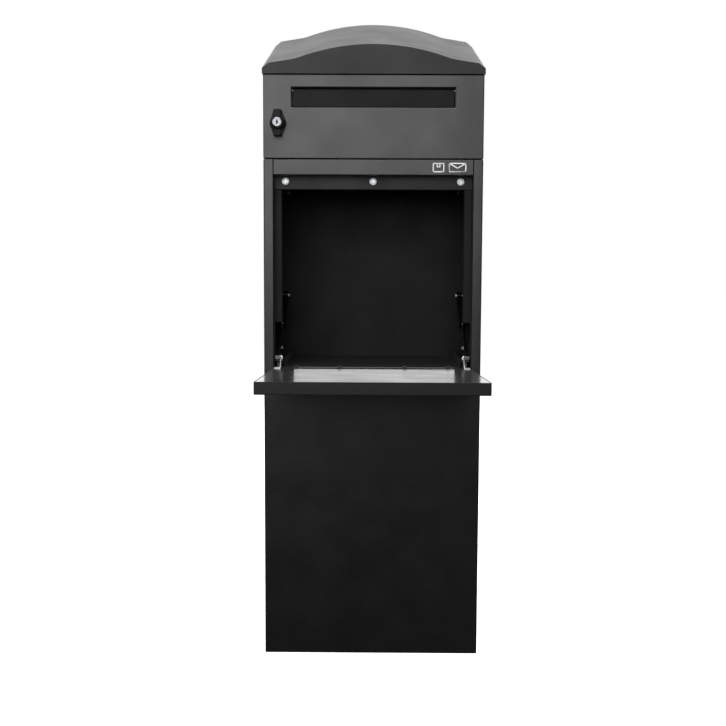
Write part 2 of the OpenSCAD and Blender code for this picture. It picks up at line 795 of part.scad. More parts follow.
module flap_strut_studs() color([0.8, 0.8, 0.82]) flap_place()
    both_sides() {
        bar_x(pin_r, [strut_x - ear_stud[0], strut_x + ear_stud[1]], strut_pin[0], strut_pin[1]);
        bar_x(ear_head_r, [strut_x - ear_head_x[0], strut_x - ear_head_x[1]], strut_pin[0],
            strut_pin[1]);
    }

// A point of the flap's own section, turned by its tilt about the pivot
function tilted(y, z) = [y * cos(flap_tilt) + z * sin(flap_tilt), z * cos(flap_tilt) - y * sin(flap_tilt)];

// Tray behind the flap, lapped over the heel and screwed to it. Its section is one bent
// sheet: tilted lap, level floor and a hem that points down at the back.
module drop_tray() color([0.08, 0.08, 0.085]) {
    end = tray_back - flap_axis_y;
    top = flap_r + tray_t;
    bend = tan(flap_tilt / 2);
    difference() {
        translate([0, flap_axis_y, flap_axis_z]) union() {
            translate([-tray_half, 0, 0]) rotate([90, 0, 90]) linear_extrude(height = 2 * tray_half)
                polygon([tilted(-tray_lap, flap_r), [flap_r * bend, flap_r], [end - tray_t, flap_r],
                    [end - tray_t, flap_r - tray_hem], [end, flap_r - tray_hem], [end, top],
                    [top * bend, top],
                    tilted(-tray_lap, top)]);
            both_sides() {
                block([tray_half - tray_t, tray_half], [tray_lip_y, end], [flap_r, top + tray_lip]);
                block([tray_rib_x, tray_rib_x + tray_t], [tray_rib_y, end - tray_hem],
                    [flap_r - tray_rib_h, flap_r + over]);
            }
        }
        flap_place() for (x = tray_screw_x)
            bar_z(tray_hole_r, x, -tray_lap / 2, [flap_r - over, flap_r + 2 * tray_t + over]);
    }
}

module tray_screws() color([0.15, 0.15, 0.15]) flap_place()
    for (x = tray_screw_x) {
        bar_z(tray_head_r, x, -tray_lap / 2, [flap_r + tray_t, flap_r + tray_t + tray_head_t]);
        bar_z(tray_screw_r, x, -tray_lap / 2, [flap_r - 3 * sheet, flap_r + tray_t + over]);
    }

// ---- Gas struts ----

// Puts a shape drawn along -Y from the wall stud in its place beside the flap
module strut_place(side) on_side(side)
    translate([strut_x, strut_wall_y, strut_wall_z]) rotate([strut_angle, 0, 0]) children();

// Cylinder with a gland, an eye on its closed end and an open bore
module strut_tube(side) color([0.06, 0.06, 0.06]) strut_place(side)
    difference() {
        union() {
            bar_y(strut_tube_r, 0, [-strut_tube_len, -strut_tube_top], 0);
            bar_y(strut_neck_r, 0, [-strut_neck[1], -strut_neck[0]], 0);
            bar_x(strut_eye_r, [-strut_eye_half, strut_eye_half], 0, 0);
        }
        bar_y(strut_bore_r, 0, [strut_gland_len - strut_tube_len, -strut_bore_top], 0);
        bar_y(strut_gland_r, 0, [-strut_tube_len - over, -strut_throat], 0);
        bar_x(pin_r + running, [-strut_eye_half - over, strut_eye_half + over], 0, 0);
    }

// Bright rod with an eye outside and a piston inside the cylinder
module strut_rod(side) color([0.85, 0.86, 0.88]) strut_place(side)
    difference() {
        union() {
            bar_y(strut_rod_r, 0, [-strut_len, -strut_rod_top], 0);
            bar_y(strut_piston_r, 0, [-strut_piston[1], -strut_piston[0]], 0);
            bar_y(strut_socket_r, 0, [-strut_len, strut_socket - strut_len], 0);
            bar_x(strut_eye_r - 0.5, [-strut_eye_half, strut_eye_half], -strut_len, 0);
        }
        bar_x(pin_r + running, [-strut_eye_half - over, strut_eye_half + over], -strut_len, 0);
    }

// ---- Rear door ----

// Folded door set flush in the back panel
module rear_door_panel() color([0.07, 0.07, 0.075]) {
    half = rear_half - rear_gap;
    low = rear_opening_z + rear_door_gap;
    high = rear_top - rear_door_gap;
    difference() {
        union() {
            block([-half, half], [back - sheet, back], [low, high]);
            both_sides() block([half - sheet, half], [back - rear_fold, back], [low, high]);
            for (z = [low, high - sheet])
                block([-half, half], [back - rear_fold, back], [z, z + sheet]);
        }
        bar_z(rear_pin_r + running, rear_pin_x, rear_pin_y, [low - over, high + over]);
        bar_y(lock_hole_r, rear_lock_x, [back - 2 * sheet, back + over], rear_lock_z);
    }
}

module rear_lock_body() color([0.75, 0.76, 0.78])
    difference() {
        union() {
            bar_y(rear_head_r, rear_lock_x, [back, back + rear_head_t], rear_lock_z);
            bar_y(lock_body_r, rear_lock_x, [rear_body_y, back + over], rear_lock_z);
        }
        bar_y(rear_plug_r + running, rear_lock_x, [rear_body_y - over, back + rear_head_t + over],
            rear_lock_z);
    }

module rear_lock_nut() color([0.7, 0.7, 0.72])
    difference() {
        hex_y(rear_nut_af, rear_lock_x, [back - sheet - rear_nut_t, back - sheet], rear_lock_z);
        bar_y(lock_hole_r, rear_lock_x, [back - 2 * sheet - rear_nut_t, back], rear_lock_z);
    }

module rear_lock_plug() color([0.8, 0.8, 0.82]) {
    key_y = [back - rear_key_depth, back + rear_head_t + over];
    difference() {
        bar_y(rear_plug_r, rear_lock_x, [rear_cam_y[1], back + rear_head_t], rear_lock_z);
        block([rear_lock_x - rear_key_half[0], rear_lock_x + rear_key_half[0]], key_y,
            [rear_lock_z - rear_key_half[1], rear_lock_z + rear_key_half[1]]);
        bar_y(key_r, rear_lock_x, key_y, rear_lock_z);
    }
}

// Cam that hangs down when the rear door is unlocked
module rear_lock_cam() color([0.7, 0.7, 0.72])
    union() {
        bar_y(rear_cam_half, rear_lock_x, rear_cam_y, rear_lock_z);
        block([rear_lock_x - rear_cam_half, rear_lock_x + rear_cam_half], rear_cam_y,
            [rear_lock_z - rear_cam_len, rear_lock_z]);
    }

base_plate();
front_panel();
column(-1);  // column_left
column(1);  // column_right
side_panel(-1);  // side_panel_left
side_panel(1);  // side_panel_right
back_panel();
header_rail();
opening_frame_top();
opening_frame_side(-1);  // opening_frame_left
opening_frame_side(1);  // opening_frame_right
mail_floor();
floor_hanger(-1);  // floor_hanger_left
floor_hanger(1);  // floor_hanger_right
upper_rail();
roof_cap();
roof_screws();
flap_bumpers();
bumper_screws();
flap_pivot_pins();
strut_bracket(-1);  // strut_bracket_left
strut_bracket(1);  // strut_bracket_right
strut_wall_studs();
bracket_bolts();
mail_door_pins();
lock_keeper();
rear_hinge_pins();
mail_door_panel();
slot_frame();
slot_flap_rod();
slot_springs();
lock_housing();
lock_nut();
slot_flap();
lock_knob();
lock_cam();
cam_screw();
lock_plug();
flap_outer_skin();
flap_inner_skin();
flap_stiffener();
flap_bushes();
flap_strut_brackets();
flap_strut_studs();
drop_tray();
tray_screws();
strut_tube(-1);  // strut_tube_left
strut_tube(1);  // strut_tube_right
strut_rod(-1);  // strut_rod_left
strut_rod(1);  // strut_rod_right
rear_door_panel();
rear_lock_body();
rear_lock_nut();
rear_lock_plug();
rear_lock_cam();
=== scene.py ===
import math

import bmesh
import bpy
from mathutils import Matrix, Vector


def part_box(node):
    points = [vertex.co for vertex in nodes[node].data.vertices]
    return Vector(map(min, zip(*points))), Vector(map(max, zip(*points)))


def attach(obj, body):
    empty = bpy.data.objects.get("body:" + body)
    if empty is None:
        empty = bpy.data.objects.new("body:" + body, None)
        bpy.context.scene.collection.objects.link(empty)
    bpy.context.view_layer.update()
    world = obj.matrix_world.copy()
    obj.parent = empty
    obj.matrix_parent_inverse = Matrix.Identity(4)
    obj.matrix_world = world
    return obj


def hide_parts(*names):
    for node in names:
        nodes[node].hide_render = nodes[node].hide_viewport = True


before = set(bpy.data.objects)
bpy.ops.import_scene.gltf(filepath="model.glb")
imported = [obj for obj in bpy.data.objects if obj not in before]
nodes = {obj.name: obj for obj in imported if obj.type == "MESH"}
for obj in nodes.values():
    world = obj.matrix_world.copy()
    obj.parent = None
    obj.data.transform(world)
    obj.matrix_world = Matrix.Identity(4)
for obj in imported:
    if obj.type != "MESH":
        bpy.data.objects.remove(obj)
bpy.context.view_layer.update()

MM = 0.001


# ---- Casing ----
# One steel sheet folded into the lower front, the two columns beside the parcel opening and
# the side walls. It is laser cut, bent on a press brake, welded and powder coated black.
SHEET = 1.5 * MM
front_low, front_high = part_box("front_panel")
wall_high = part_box("side_panel_right")[1]
column_low, column_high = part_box("column_right")
strip_low, strip_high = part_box("opening_frame_right")
FRONT = front_low.y
BACK = wall_high.y
HALF = front_high.x
OPENING = column_low.x
LOWER_TOP = front_high.z
COLUMN_TOP = column_high.z
WALL_TOP = wall_high.z
DOOR_SET_BACK = 21 * MM
FRAME_Y = strip_low.y
FRAME_HALF = strip_low.x
TOP_FOLD = 14 * MM
FRAME_LIP = 12 * MM
CORNER_BEND = 2.5 * MM
INNER_BEND = 1.2 * MM
BEND = 1.5 * MM


def plate(name, x, z, y, faces_front=True):
    """A flat upright sheet between two corners, as the open mesh that the folds start from."""
    bpy.ops.object.select_all(action="DESELECT")
    turn = math.pi / 2 if faces_front else -math.pi / 2
    place = ((x[0] + x[1]) / 2, y, (z[0] + z[1]) / 2)
    bpy.ops.mesh.primitive_plane_add(size=1, location=place, rotation=(turn, 0, 0))
    piece = bpy.context.object
    piece.name = name
    piece.scale = (x[1] - x[0], z[1] - z[0], 1)
    bpy.ops.object.transform_apply(location=True, rotation=True, scale=True)
    bpy.ops.object.mode_set(mode="EDIT")
    return piece


def pick(kind, test):
    """Selects the faces or edges whose centre passes the test, and nothing else."""
    bpy.ops.mesh.select_mode(type=kind)
    bpy.ops.mesh.select_all(action="DESELECT")
    mesh = bmesh.from_edit_mesh(bpy.context.object.data)
    for part in mesh.faces if kind == "FACE" else mesh.edges:
        centre = sum((v.co for v in part.verts), Vector()) / len(part.verts)
        if test(centre, part):
            part.select_set(True)
    bmesh.update_edit_mesh(bpy.context.object.data)


def near(a, b):
    return abs(a - b) < 0.05 * MM


def cut(point, normal):
    bpy.ops.mesh.select_all(action="SELECT")
    bpy.ops.mesh.bisect(plane_co=point, plane_no=normal)


def remove(test):
    pick("FACE", lambda c, f: test(c))
    bpy.ops.mesh.delete(type="FACE")


def fold(test, move):
    """Folds a new strip from the open edges that pass the test."""
    pick("EDGE", lambda c, e: e.is_boundary and test(c))
    bpy.ops.mesh.extrude_region_move(TRANSFORM_OT_translate={"value": move})


def round_folds(radius, test=lambda c: True, segments=3):
    """Gives each sharp bend that passes the test its bending radius."""
    pick("EDGE", lambda c, e: len(e.link_faces) == 2 and e.calc_face_angle() > 0.5 and test(c))
    bpy.ops.mesh.bevel(offset=radius, segments=segments, affect="EDGES")


def press(piece, thickness, edge=0.25 * MM):
    """Leaves edit mode, gives the sheet its thickness and breaks its cut edges."""
    bpy.ops.mesh.select_all(action="SELECT")
    bpy.ops.mesh.remove_doubles(threshold=0.00001)
    bpy.ops.object.mode_set(mode="OBJECT")
    if thickness:
        solid = piece.modifiers.new("thickness", "SOLIDIFY")
        solid.thickness = thickness
        solid.offset = -1
        solid.use_even_offset = True
        bpy.ops.object.modifier_apply(modifier=solid.name)
    bevel = piece.modifiers.new("edge", "BEVEL")
    bevel.width = edge
    bevel.segments = 2
    bevel.limit_method = "ANGLE"
    bevel.angle_limit = math.radians(40)
    bpy.ops.object.modifier_apply(modifier=bevel.name)
    flatten(piece)


def flatten(piece):
    """Smooths the bends' shading and keeps the flat faces flat."""
    bpy.ops.object.shade_smooth_by_angle(angle=math.radians(35))
    weighted = piece.modifiers.new("flat_faces", "WEIGHTED_NORMAL")
    weighted.keep_sharp = True
    bpy.ops.object.modifier_apply(modifier=weighted.name)


def linear(code):
    """A colour from its sRGB hex code, as linear light."""
    parts = [int(code[i:i + 2], 16) / 255 for i in (1, 3, 5)]
    light = [c / 12.92 if c <= 0.04045 else ((c + 0.055) / 1.055) ** 2.4 for c in parts]
    return (*light, 1)


def add_node(material, kind, links=None, **settings):
    """Adds a node to the material. links holds its inputs' values, or sockets to join to them."""
    node = material.node_tree.nodes.new(kind)
    for name, value in settings.items():
        setattr(node, name, value)
    for name, value in (links or {}).items():
        if isinstance(value, bpy.types.NodeSocket):
            material.node_tree.links.new(value, node.inputs[name])
        else:
            node.inputs[name].default_value = value
    return node


def powder_coat(name, dark, light, roughness, gloss=0.5, sheen=0.13, grain_depth=0.25 * MM):
    """Baked polyester powder coat with a fine pebbled grain, as on outdoor steel boxes. The tops of
    its pebbles catch the light at a low angle, which the sheen gives. The grain is about 0.5 mm on
    the real thing and is drawn at 2.6 mm, so that it shows in a whole view."""
    material = bpy.data.materials.new(name)
    material.use_nodes = True
    shader = material.node_tree.nodes["Principled BSDF"]
    place = add_node(material, "ShaderNodeTexCoord").outputs["Object"]
    grain = add_node(material, "ShaderNodeTexNoise",
                     {"Vector": place, "Scale": 1 / (2.6 * MM), "Detail": 3.0})
    cloud = add_node(material, "ShaderNodeTexNoise",
                     {"Vector": place, "Scale": 1 / (70 * MM), "Detail": 3.0})
    tone = add_node(material, "ShaderNodeMapRange",
                    {"Value": grain.outputs["Fac"], "From Min": 0.3, "From Max": 0.7})
    colour = add_node(material, "ShaderNodeMix",
                      {"Factor": tone.outputs["Result"], "A": linear(dark), "B": linear(light)},
                      data_type="RGBA")
    rough = add_node(material, "ShaderNodeMapRange",
                     {"Value": cloud.outputs["Fac"], "From Min": 0.3, "From Max": 0.7,
                      "To Min": roughness - 0.04, "To Max": roughness + 0.04})
    bump = add_node(material, "ShaderNodeBump",
                    {"Height": grain.outputs["Fac"], "Strength": 0.45, "Distance": grain_depth})
    tree = material.node_tree
    tree.links.new(colour.outputs["Result"], shader.inputs["Base Color"])
    tree.links.new(rough.outputs["Result"], shader.inputs["Roughness"])
    tree.links.new(bump.outputs["Normal"], shader.inputs["Normal"])
    shader.inputs["IOR"].default_value = 1.5
    shader.inputs["Specular IOR Level"].default_value = gloss
    shader.inputs["Sheen Weight"].default_value = sheen
    shader.inputs["Sheen Roughness"].default_value = 0.35
    return material


coat = powder_coat("powder_coated_steel_black", "#0a0a0b", "#151516", 0.35)


def paint(piece, material):
    """Puts one finish on a piece."""
    piece.data.materials.clear()
    piece.data.materials.append(material)


# The inside coat is the black coat made duller and painted darker. The darker colour is painted
# shade for faces inside the box and in its recesses.
inside_painted_shade_coat = powder_coat("powder_coated_steel_inside_painted_shade", "#070708", "#0e0e0f", 0.55, 0.2, 0.02)


def paint_faces(piece, material, test):
    """Gives the faces whose centre and normal pass the test a material of their own, such as a
    darker coat for painted shade.
    """
    piece.data.materials.append(material)
    for face in piece.data.polygons:
        if test(face.center, face.normal):
            face.material_index = len(piece.data.materials) - 1


casing = plate("casing_wrap", (-HALF, HALF), (0, COLUMN_TOP), FRONT)
fold(lambda c: near(abs(c.x), HALF), (0, BACK - FRONT, 0))
cut((0, 0, LOWER_TOP), (0, 0, 1))
for side in (-1, 1):
    cut((side * OPENING, 0, 0), (1, 0, 0))
remove(lambda c: near(c.y, FRONT) and abs(c.x) < OPENING and c.z > LOWER_TOP)
cut((0, FRONT + DOOR_SET_BACK, 0), (0, 1, 0))
fold(lambda c: near(abs(c.x), HALF) and near(c.z, COLUMN_TOP) and c.y > FRONT + DOOR_SET_BACK,
     (0, 0, WALL_TOP - COLUMN_TOP))
fold(lambda c: near(c.y, FRONT) and near(c.z, LOWER_TOP), (0, TOP_FOLD, 0))
fold(lambda c: near(c.y, FRONT) and near(abs(c.x), OPENING), (0, FRAME_Y - FRONT, 0))
for level in (strip_low.z, strip_high.z):
    cut((0, 0, level), (0, 0, 1))
for side in (-1, 1):
    def on_strip(c):
        return strip_low.z < c.z < strip_high.z and c.x * side > 0
    fold(lambda c: near(c.y, FRAME_Y) and near(abs(c.x), OPENING) and on_strip(c),
         (side * (FRAME_HALF - OPENING), 0, 0))
    fold(lambda c: near(c.y, FRAME_Y) and near(abs(c.x), FRAME_HALF) and on_strip(c),
         (0, FRAME_LIP, 0))
round_folds(CORNER_BEND, lambda c: near(abs(c.x), HALF), 4)
round_folds(INNER_BEND, lambda c: abs(c.x) < HALF - 2 * SHEET)
press(casing, SHEET)
paint(casing, coat)
# Painted shade: the faces inside the parcel opening, its recessed frame strips and the walls' inner
# faces get the darker inside coat.
paint_faces(casing, inside_painted_shade_coat, lambda c, n: abs(c.x) < OPENING + MM and c.z > LOWER_TOP - SHEET
            and c.y > FRONT + 2 * SHEET or abs(c.x) < HALF - MM and n.x * c.x < 0)
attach(casing, "casing")
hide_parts("front_panel", "column_left", "column_right", "side_panel_left",
            "side_panel_right", "opening_frame_left", "opening_frame_right")

# The back wall has a flanged opening for the rear door, and is welded between the side walls.
back_low, back_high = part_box("back_panel")
rear_low, rear_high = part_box("rear_door_panel")
SIDE_GAP = 2.5 * MM
END_GAP = 2 * MM
WELD_GAP = 0.3 * MM
REAR_HALF = rear_high.x + SIDE_GAP
REAR_Z = (rear_low.z - END_GAP, rear_high.z + END_GAP)
back = plate("back_wall", (back_low.x + WELD_GAP, back_high.x - WELD_GAP), (0, WALL_TOP), BACK,
             faces_front=False)
for side in (-1, 1):
    cut((side * REAR_HALF, 0, 0), (1, 0, 0))
for level in REAR_Z:
    cut((0, 0, level), (0, 0, 1))
remove(lambda c: abs(c.x) < REAR_HALF and REAR_Z[0] < c.z < REAR_Z[1])
fold(lambda c: abs(c.x) < REAR_HALF + MM and REAR_Z[0] - MM < c.z < REAR_Z[1] + MM,
     (0, back_low.y - BACK, 0))
round_folds(BEND)
press(back, SHEET)
paint(back, coat)
# Painted shade: the back wall's inner face gets the darker inside coat.
paint_faces(back, inside_painted_shade_coat, lambda c, n: c.y < BACK - MM)
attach(back, "casing")
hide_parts("back_panel")

# Inner sheets that only the open doors show keep their plain folded shapes: base pan, letter
# floor and its hangers, strut brackets and the rail under the roof, in the duller inside coat,
# whose darker colour is painted shade.
for name in ("base_plate", "mail_floor", "floor_hanger_left", "floor_hanger_right",
             "strut_bracket_left", "strut_bracket_right", "upper_rail"):
    paint(nodes[name], inside_painted_shade_coat)

# ---- Header rail and recessed bar ----
# A folded channel closes the front between the letter door and the parcel opening. Behind it
# a recessed bar carries the stops, a step back from the front so that the flap shuts flush.
header_low, header_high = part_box("header_rail")
SEAM = 0.8 * MM
header = plate("header_channel", (header_low.x + SEAM, header_high.x - SEAM),
               (header_low.z, header_high.z), FRONT)
fold(lambda c: near(c.z, header_low.z), (0, FRAME_Y - FRONT, 0))
fold(lambda c: near(c.z, header_high.z), (0, header_high.y - FRONT, 0))
round_folds(BEND)
press(header, SHEET)
paint(header, coat)
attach(header, "casing")
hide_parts("header_rail")

bar_low, bar_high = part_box("opening_frame_top")
bar = plate("stop_bar", (bar_low.x, bar_high.x), (bar_low.z, bar_high.z), FRAME_Y)
fold(lambda c: near(c.z, bar_low.z), (0, bar_high.y - FRAME_Y, 0))
round_folds(BEND)
press(bar, SHEET)
paint(bar, powder_coat("powder_coated_steel_bar", "#0b0b0c", "#131314", 0.46, 0.25, 0.06))
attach(bar, "casing")
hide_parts("opening_frame_top")

# A parcel and an envelope are screen printed in white on the header, the usual sign for a box
# that takes both. The ink is a thin layer of even strokes.
STROKE = 1.9 * MM
INK = 0.15 * MM
ICON_Z = (header_low.z + header_high.z) / 2
ICON_H = 15 * MM


def strokes(name, lines):
    """Thin bars from point to point on the header's face, joined into one print."""
    made = []
    for (x0, z0), (x1, z1) in lines:
        bpy.ops.object.select_all(action="DESELECT")
        along = Vector((x1 - x0, 0, z1 - z0))
        turn = -math.atan2(z1 - z0, x1 - x0)
        bpy.ops.mesh.primitive_cube_add(size=1, rotation=(0, turn, 0),
                                        location=((x0 + x1) / 2, FRONT - INK / 2, (z0 + z1) / 2))
        stroke = bpy.context.object
        stroke.scale = (along.length + STROKE, INK, STROKE)
        bpy.ops.object.transform_apply(location=True, rotation=True, scale=True)
        made.append(stroke)
    bpy.ops.object.select_all(action="DESELECT")
    for stroke in made:
        stroke.select_set(True)
    bpy.context.view_layer.objects.active = made[0]
    bpy.ops.object.join()
    made[0].name = name
    bpy.ops.object.mode_set(mode="EDIT")
    press(made[0], 0, 0.05 * MM)
    return made[0]


def frame_lines(x, z):
    corners = [(x[0], z[0]), (x[1], z[0]), (x[1], z[1]), (x[0], z[1])]
    return [(corners[i], corners[(i + 1) % 4]) for i in range(4)]


icon_z = (ICON_Z - ICON_H / 2, ICON_Z + ICON_H / 2)
parcel_x = (109 * MM, 128 * MM)
letter_x = (138 * MM, 168 * MM)
parcel_mid = sum(parcel_x) / 2
letter_mid = sum(letter_x) / 2
TAPE_HALF = 2.5 * MM
tape_x = (parcel_mid - TAPE_HALF, parcel_mid + TAPE_HALF)
tape_end = ICON_Z + MM
flap_point = (letter_mid, ICON_Z - MM)
sign = strokes("header_sign", frame_lines(parcel_x, icon_z) + frame_lines(letter_x, icon_z) + [
    ((tape_x[0], icon_z[1]), (tape_x[0], tape_end)),
    ((tape_x[1], icon_z[1]), (tape_x[1], tape_end)),
    ((tape_x[0], tape_end), (tape_x[1], tape_end)),
    ((letter_x[0], icon_z[1]), flap_point),
    ((letter_x[1], icon_z[1]), flap_point)])


def screen_ink(name):
    """Opaque white screen-printing ink: matt, with a faint mottle from the coat under it."""
    material = bpy.data.materials.new(name)
    material.use_nodes = True
    shader = material.node_tree.nodes["Principled BSDF"]
    place = add_node(material, "ShaderNodeTexCoord").outputs["Object"]
    mottle = add_node(material, "ShaderNodeTexNoise",
                      {"Vector": place, "Scale": 1 / (1.2 * MM), "Detail": 2.0})
    colour = add_node(material, "ShaderNodeMix",
                      {"Factor": mottle.outputs["Fac"], "A": linear("#e9e9e7"),
                       "B": linear("#ffffff")}, data_type="RGBA")
    material.node_tree.links.new(colour.outputs["Result"], shader.inputs["Base Color"])
    shader.inputs["Roughness"].default_value = 0.55
    return material


paint(sign, screen_ink("screen_printed_white_ink"))
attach(sign, "casing")

# ---- Bumpers ----
# Three clear soft plastic discs take the knock of the shutting flap. Each is moulded with a
# sunk middle, where a zinc-plated pan-head screw holds it to the bar.
SIDES = 48


def turned(name, outline, start, direction, sides=SIDES):
    """A turned piece: a disc that is drawn out and scaled from step to step along its axis.
    outline holds each step's radius and its distance from start, in millimetres."""
    outline = [(r * MM, h * MM) for r, h in outline]
    bpy.ops.object.select_all(action="DESELECT")
    bpy.ops.mesh.primitive_circle_add(vertices=sides, radius=outline[0][0], fill_type="NGON",
                                      location=(0, 0, outline[0][1]))
    piece = bpy.context.object
    piece.name = name
    bpy.ops.object.transform_apply(location=True, rotation=True, scale=True)
    bpy.ops.object.mode_set(mode="EDIT")
    bpy.ops.mesh.select_mode(type="FACE")
    bpy.ops.mesh.select_all(action="SELECT")
    for (r0, h0), (r1, h1) in zip(outline, outline[1:]):
        bpy.ops.mesh.extrude_region_move(TRANSFORM_OT_translate={"value": (0, 0, h1 - h0)})
        bpy.ops.transform.resize(value=(r1 / r0, r1 / r0, 1), center_override=(0, 0, h1))
    bpy.ops.mesh.select_all(action="SELECT")
    bpy.ops.mesh.normals_make_consistent(inside=False)
    bpy.ops.object.mode_set(mode="OBJECT")
    turn = Vector((0, 0, 1)).rotation_difference(Vector(direction)).to_matrix().to_4x4()
    piece.data.transform(Matrix.Translation(start) @ turn)
    flatten(piece)
    return piece


def joined(name, pieces):
    bpy.ops.object.select_all(action="DESELECT")
    for piece in pieces:
        piece.select_set(True)
    bpy.context.view_layer.objects.active = pieces[0]
    bpy.ops.object.join()
    pieces[0].name = name
    return pieces[0]


def plastic(name, low, high, roughness, grain, bump_depth, gloss=0.5):
    """Moulded plastic: nearly even in colour, with the fine spark-eroded grain of its mould."""
    material = bpy.data.materials.new(name)
    material.use_nodes = True
    shader = material.node_tree.nodes["Principled BSDF"]
    place = add_node(material, "ShaderNodeTexCoord").outputs["Object"]
    texture = add_node(material, "ShaderNodeTexNoise",
                       {"Vector": place, "Scale": 1 / grain, "Detail": 2.0})
    colour = add_node(material, "ShaderNodeMix",
                      {"Factor": texture.outputs["Fac"], "A": linear(low), "B": linear(high)},
                      data_type="RGBA")
    bump = add_node(material, "ShaderNodeBump",
                    {"Height": texture.outputs["Fac"], "Strength": 0.2, "Distance": bump_depth})
    material.node_tree.links.new(colour.outputs["Result"], shader.inputs["Base Color"])
    material.node_tree.links.new(bump.outputs["Normal"], shader.inputs["Normal"])
    shader.inputs["Roughness"].default_value = roughness
    shader.inputs["Specular IOR Level"].default_value = gloss
    return material


BUMPER = [(7, 0), (7, 3.2), (6.3, 4.3), (5.4, 4.6), (4.2, 4.6), (3.9, 2.4)]
bumper_low, bumper_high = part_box("flap_bumpers")
BUMPER_Z = (bumper_low.z + bumper_high.z) / 2
bumper_reach = bumper_high.x - BUMPER[0][0] * MM
bumpers = [turned("bumper", BUMPER, (x, FRAME_Y, BUMPER_Z), (0, -1, 0))
           for x in (-bumper_reach, 0, bumper_reach)]
bumpers = joined("soft_bumpers", bumpers)
paint(bumpers, plastic("clear_pvc", "#d4d7d8", "#f2f4f4", 0.18, 0.8 * MM, 0.02 * MM))
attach(bumpers, "casing")
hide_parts("flap_bumpers")


def plated(name, low, high, roughness, grain, metal=1.0):
    """Zinc or chrome plate on steel: metallic, a little uneven in tone, with faint fine scratches
    that follow the part's length and make its gloss uneven."""
    material = bpy.data.materials.new(name)
    material.use_nodes = True
    shader = material.node_tree.nodes["Principled BSDF"]
    place = add_node(material, "ShaderNodeTexCoord").outputs["Object"]
    stretched = add_node(material, "ShaderNodeMapping", {"Vector": place, "Scale": (1, 0.15, 1)})
    scratch = add_node(material, "ShaderNodeTexNoise",
                       {"Vector": stretched.outputs["Vector"], "Scale": 1 / grain, "Detail": 4.0})
    colour = add_node(material, "ShaderNodeMix",
                      {"Factor": scratch.outputs["Fac"], "A": linear(low), "B": linear(high)},
                      data_type="RGBA")
    rough = add_node(material, "ShaderNodeMapRange",
                     {"Value": scratch.outputs["Fac"], "From Min": 0.3, "From Max": 0.7,
                      "To Min": roughness * 0.7, "To Max": roughness * 1.4})
    material.node_tree.links.new(colour.outputs["Result"], shader.inputs["Base Color"])
    material.node_tree.links.new(rough.outputs["Result"], shader.inputs["Roughness"])
    shader.inputs["Metallic"].default_value = metal
    return material


zinc = plated("zinc_plated_steel", "#8f9296", "#b4b7ba", 0.36, 0.8 * MM)
for name in ("bumper_screws", "flap_pivot_pins", "strut_wall_studs", "bracket_bolts",
             "mail_door_pins", "lock_keeper", "rear_hinge_pins", "slot_flap_rod", "lock_nut",
             "lock_cam", "cam_screw", "flap_strut_studs", "rear_lock_nut", "rear_lock_cam"):
    paint(nodes[name], zinc)

# ---- Roof ----
# A cap folded from the same sheet: a wave rolled across it, a slope up to the back, and an
# upright skirt on all four sides that fits over the walls and is screwed through them.
roof_low, roof_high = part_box("roof_cap")
ROOF_HALF = roof_high.x
SLOPE = math.tan(math.radians(18.6))
CREST_R = 395 * MM
CREST_Z = roof_high.z - SLOPE * (roof_high.y - roof_low.y)
WAVE = math.radians(19.5)
HOLLOW_R = 100 * MM
SHOULDER = math.radians(9)
CORNER = (12 * MM, 9.5 * MM)


def half_wave():
    """Half of the roof's section: rounded crest, hollow, straight shoulder and cut corner."""
    centre = CREST_Z - CREST_R
    points = []
    for i in range(25):
        a = WAVE * i / 24
        points.append((CREST_R * math.sin(a), centre + CREST_R * math.cos(a)))
    x = (CREST_R + HOLLOW_R) * math.sin(WAVE)
    z = centre + (CREST_R + HOLLOW_R) * math.cos(WAVE)
    for i in range(1, 11):
        a = WAVE + (SHOULDER - WAVE) * i / 10
        points.append((x - HOLLOW_R * math.sin(a), z - HOLLOW_R * math.cos(a)))
    edge = ROOF_HALF - CORNER[0]
    last = points[-1]
    shoulder = last[1] - (edge - last[0]) * math.tan(SHOULDER)
    return points + [(edge, shoulder), (ROOF_HALF, shoulder - CORNER[1])]


wave = half_wave()
wave = [(-x, z) for x, z in reversed(wave[1:])] + wave
bpy.ops.object.select_all(action="DESELECT")
bpy.ops.mesh.primitive_grid_add(x_subdivisions=len(wave) - 1, y_subdivisions=1, size=2)
roof = bpy.context.object
roof.name = "roof_cap_sheet"
for vertex in roof.data.vertices:
    x, z = wave[round((vertex.co.x + 1) / 2 * (len(wave) - 1))]
    y = roof_low.y if vertex.co.y < 0 else roof_high.y
    vertex.co = (x, y, z + (y - roof_low.y) * SLOPE)
bpy.ops.object.mode_set(mode="EDIT")
pick("EDGE", lambda c, e: e.is_boundary)
bpy.ops.mesh.extrude_region_move(TRANSFORM_OT_translate={"value": (0, 0, -MM)})
bpy.ops.transform.resize(value=(1, 1, 0), center_override=(0, 0, roof_low.z))
ROOF_BEND = 0.9 * MM
round_folds(ROOF_BEND)
press(roof, SHEET)
paint(roof, coat)
skirt_coat = powder_coat("powder_coated_steel_skirt", "#0e0e0f", "#171718", 0.46, 0.3, 0.12)
paint_faces(roof, skirt_coat, lambda c, n: abs(n.z) < 0.3)
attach(roof, "casing")
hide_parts("roof_cap")

# Button-head screws through the skirt, blackened to match.
black_oxide = plated("black_oxide_steel", "#101011", "#1c1c1d", 0.45, 0.8 * MM, 0.6)
for name in ("roof_screws", "tray_screws"):
    paint(nodes[name], black_oxide)

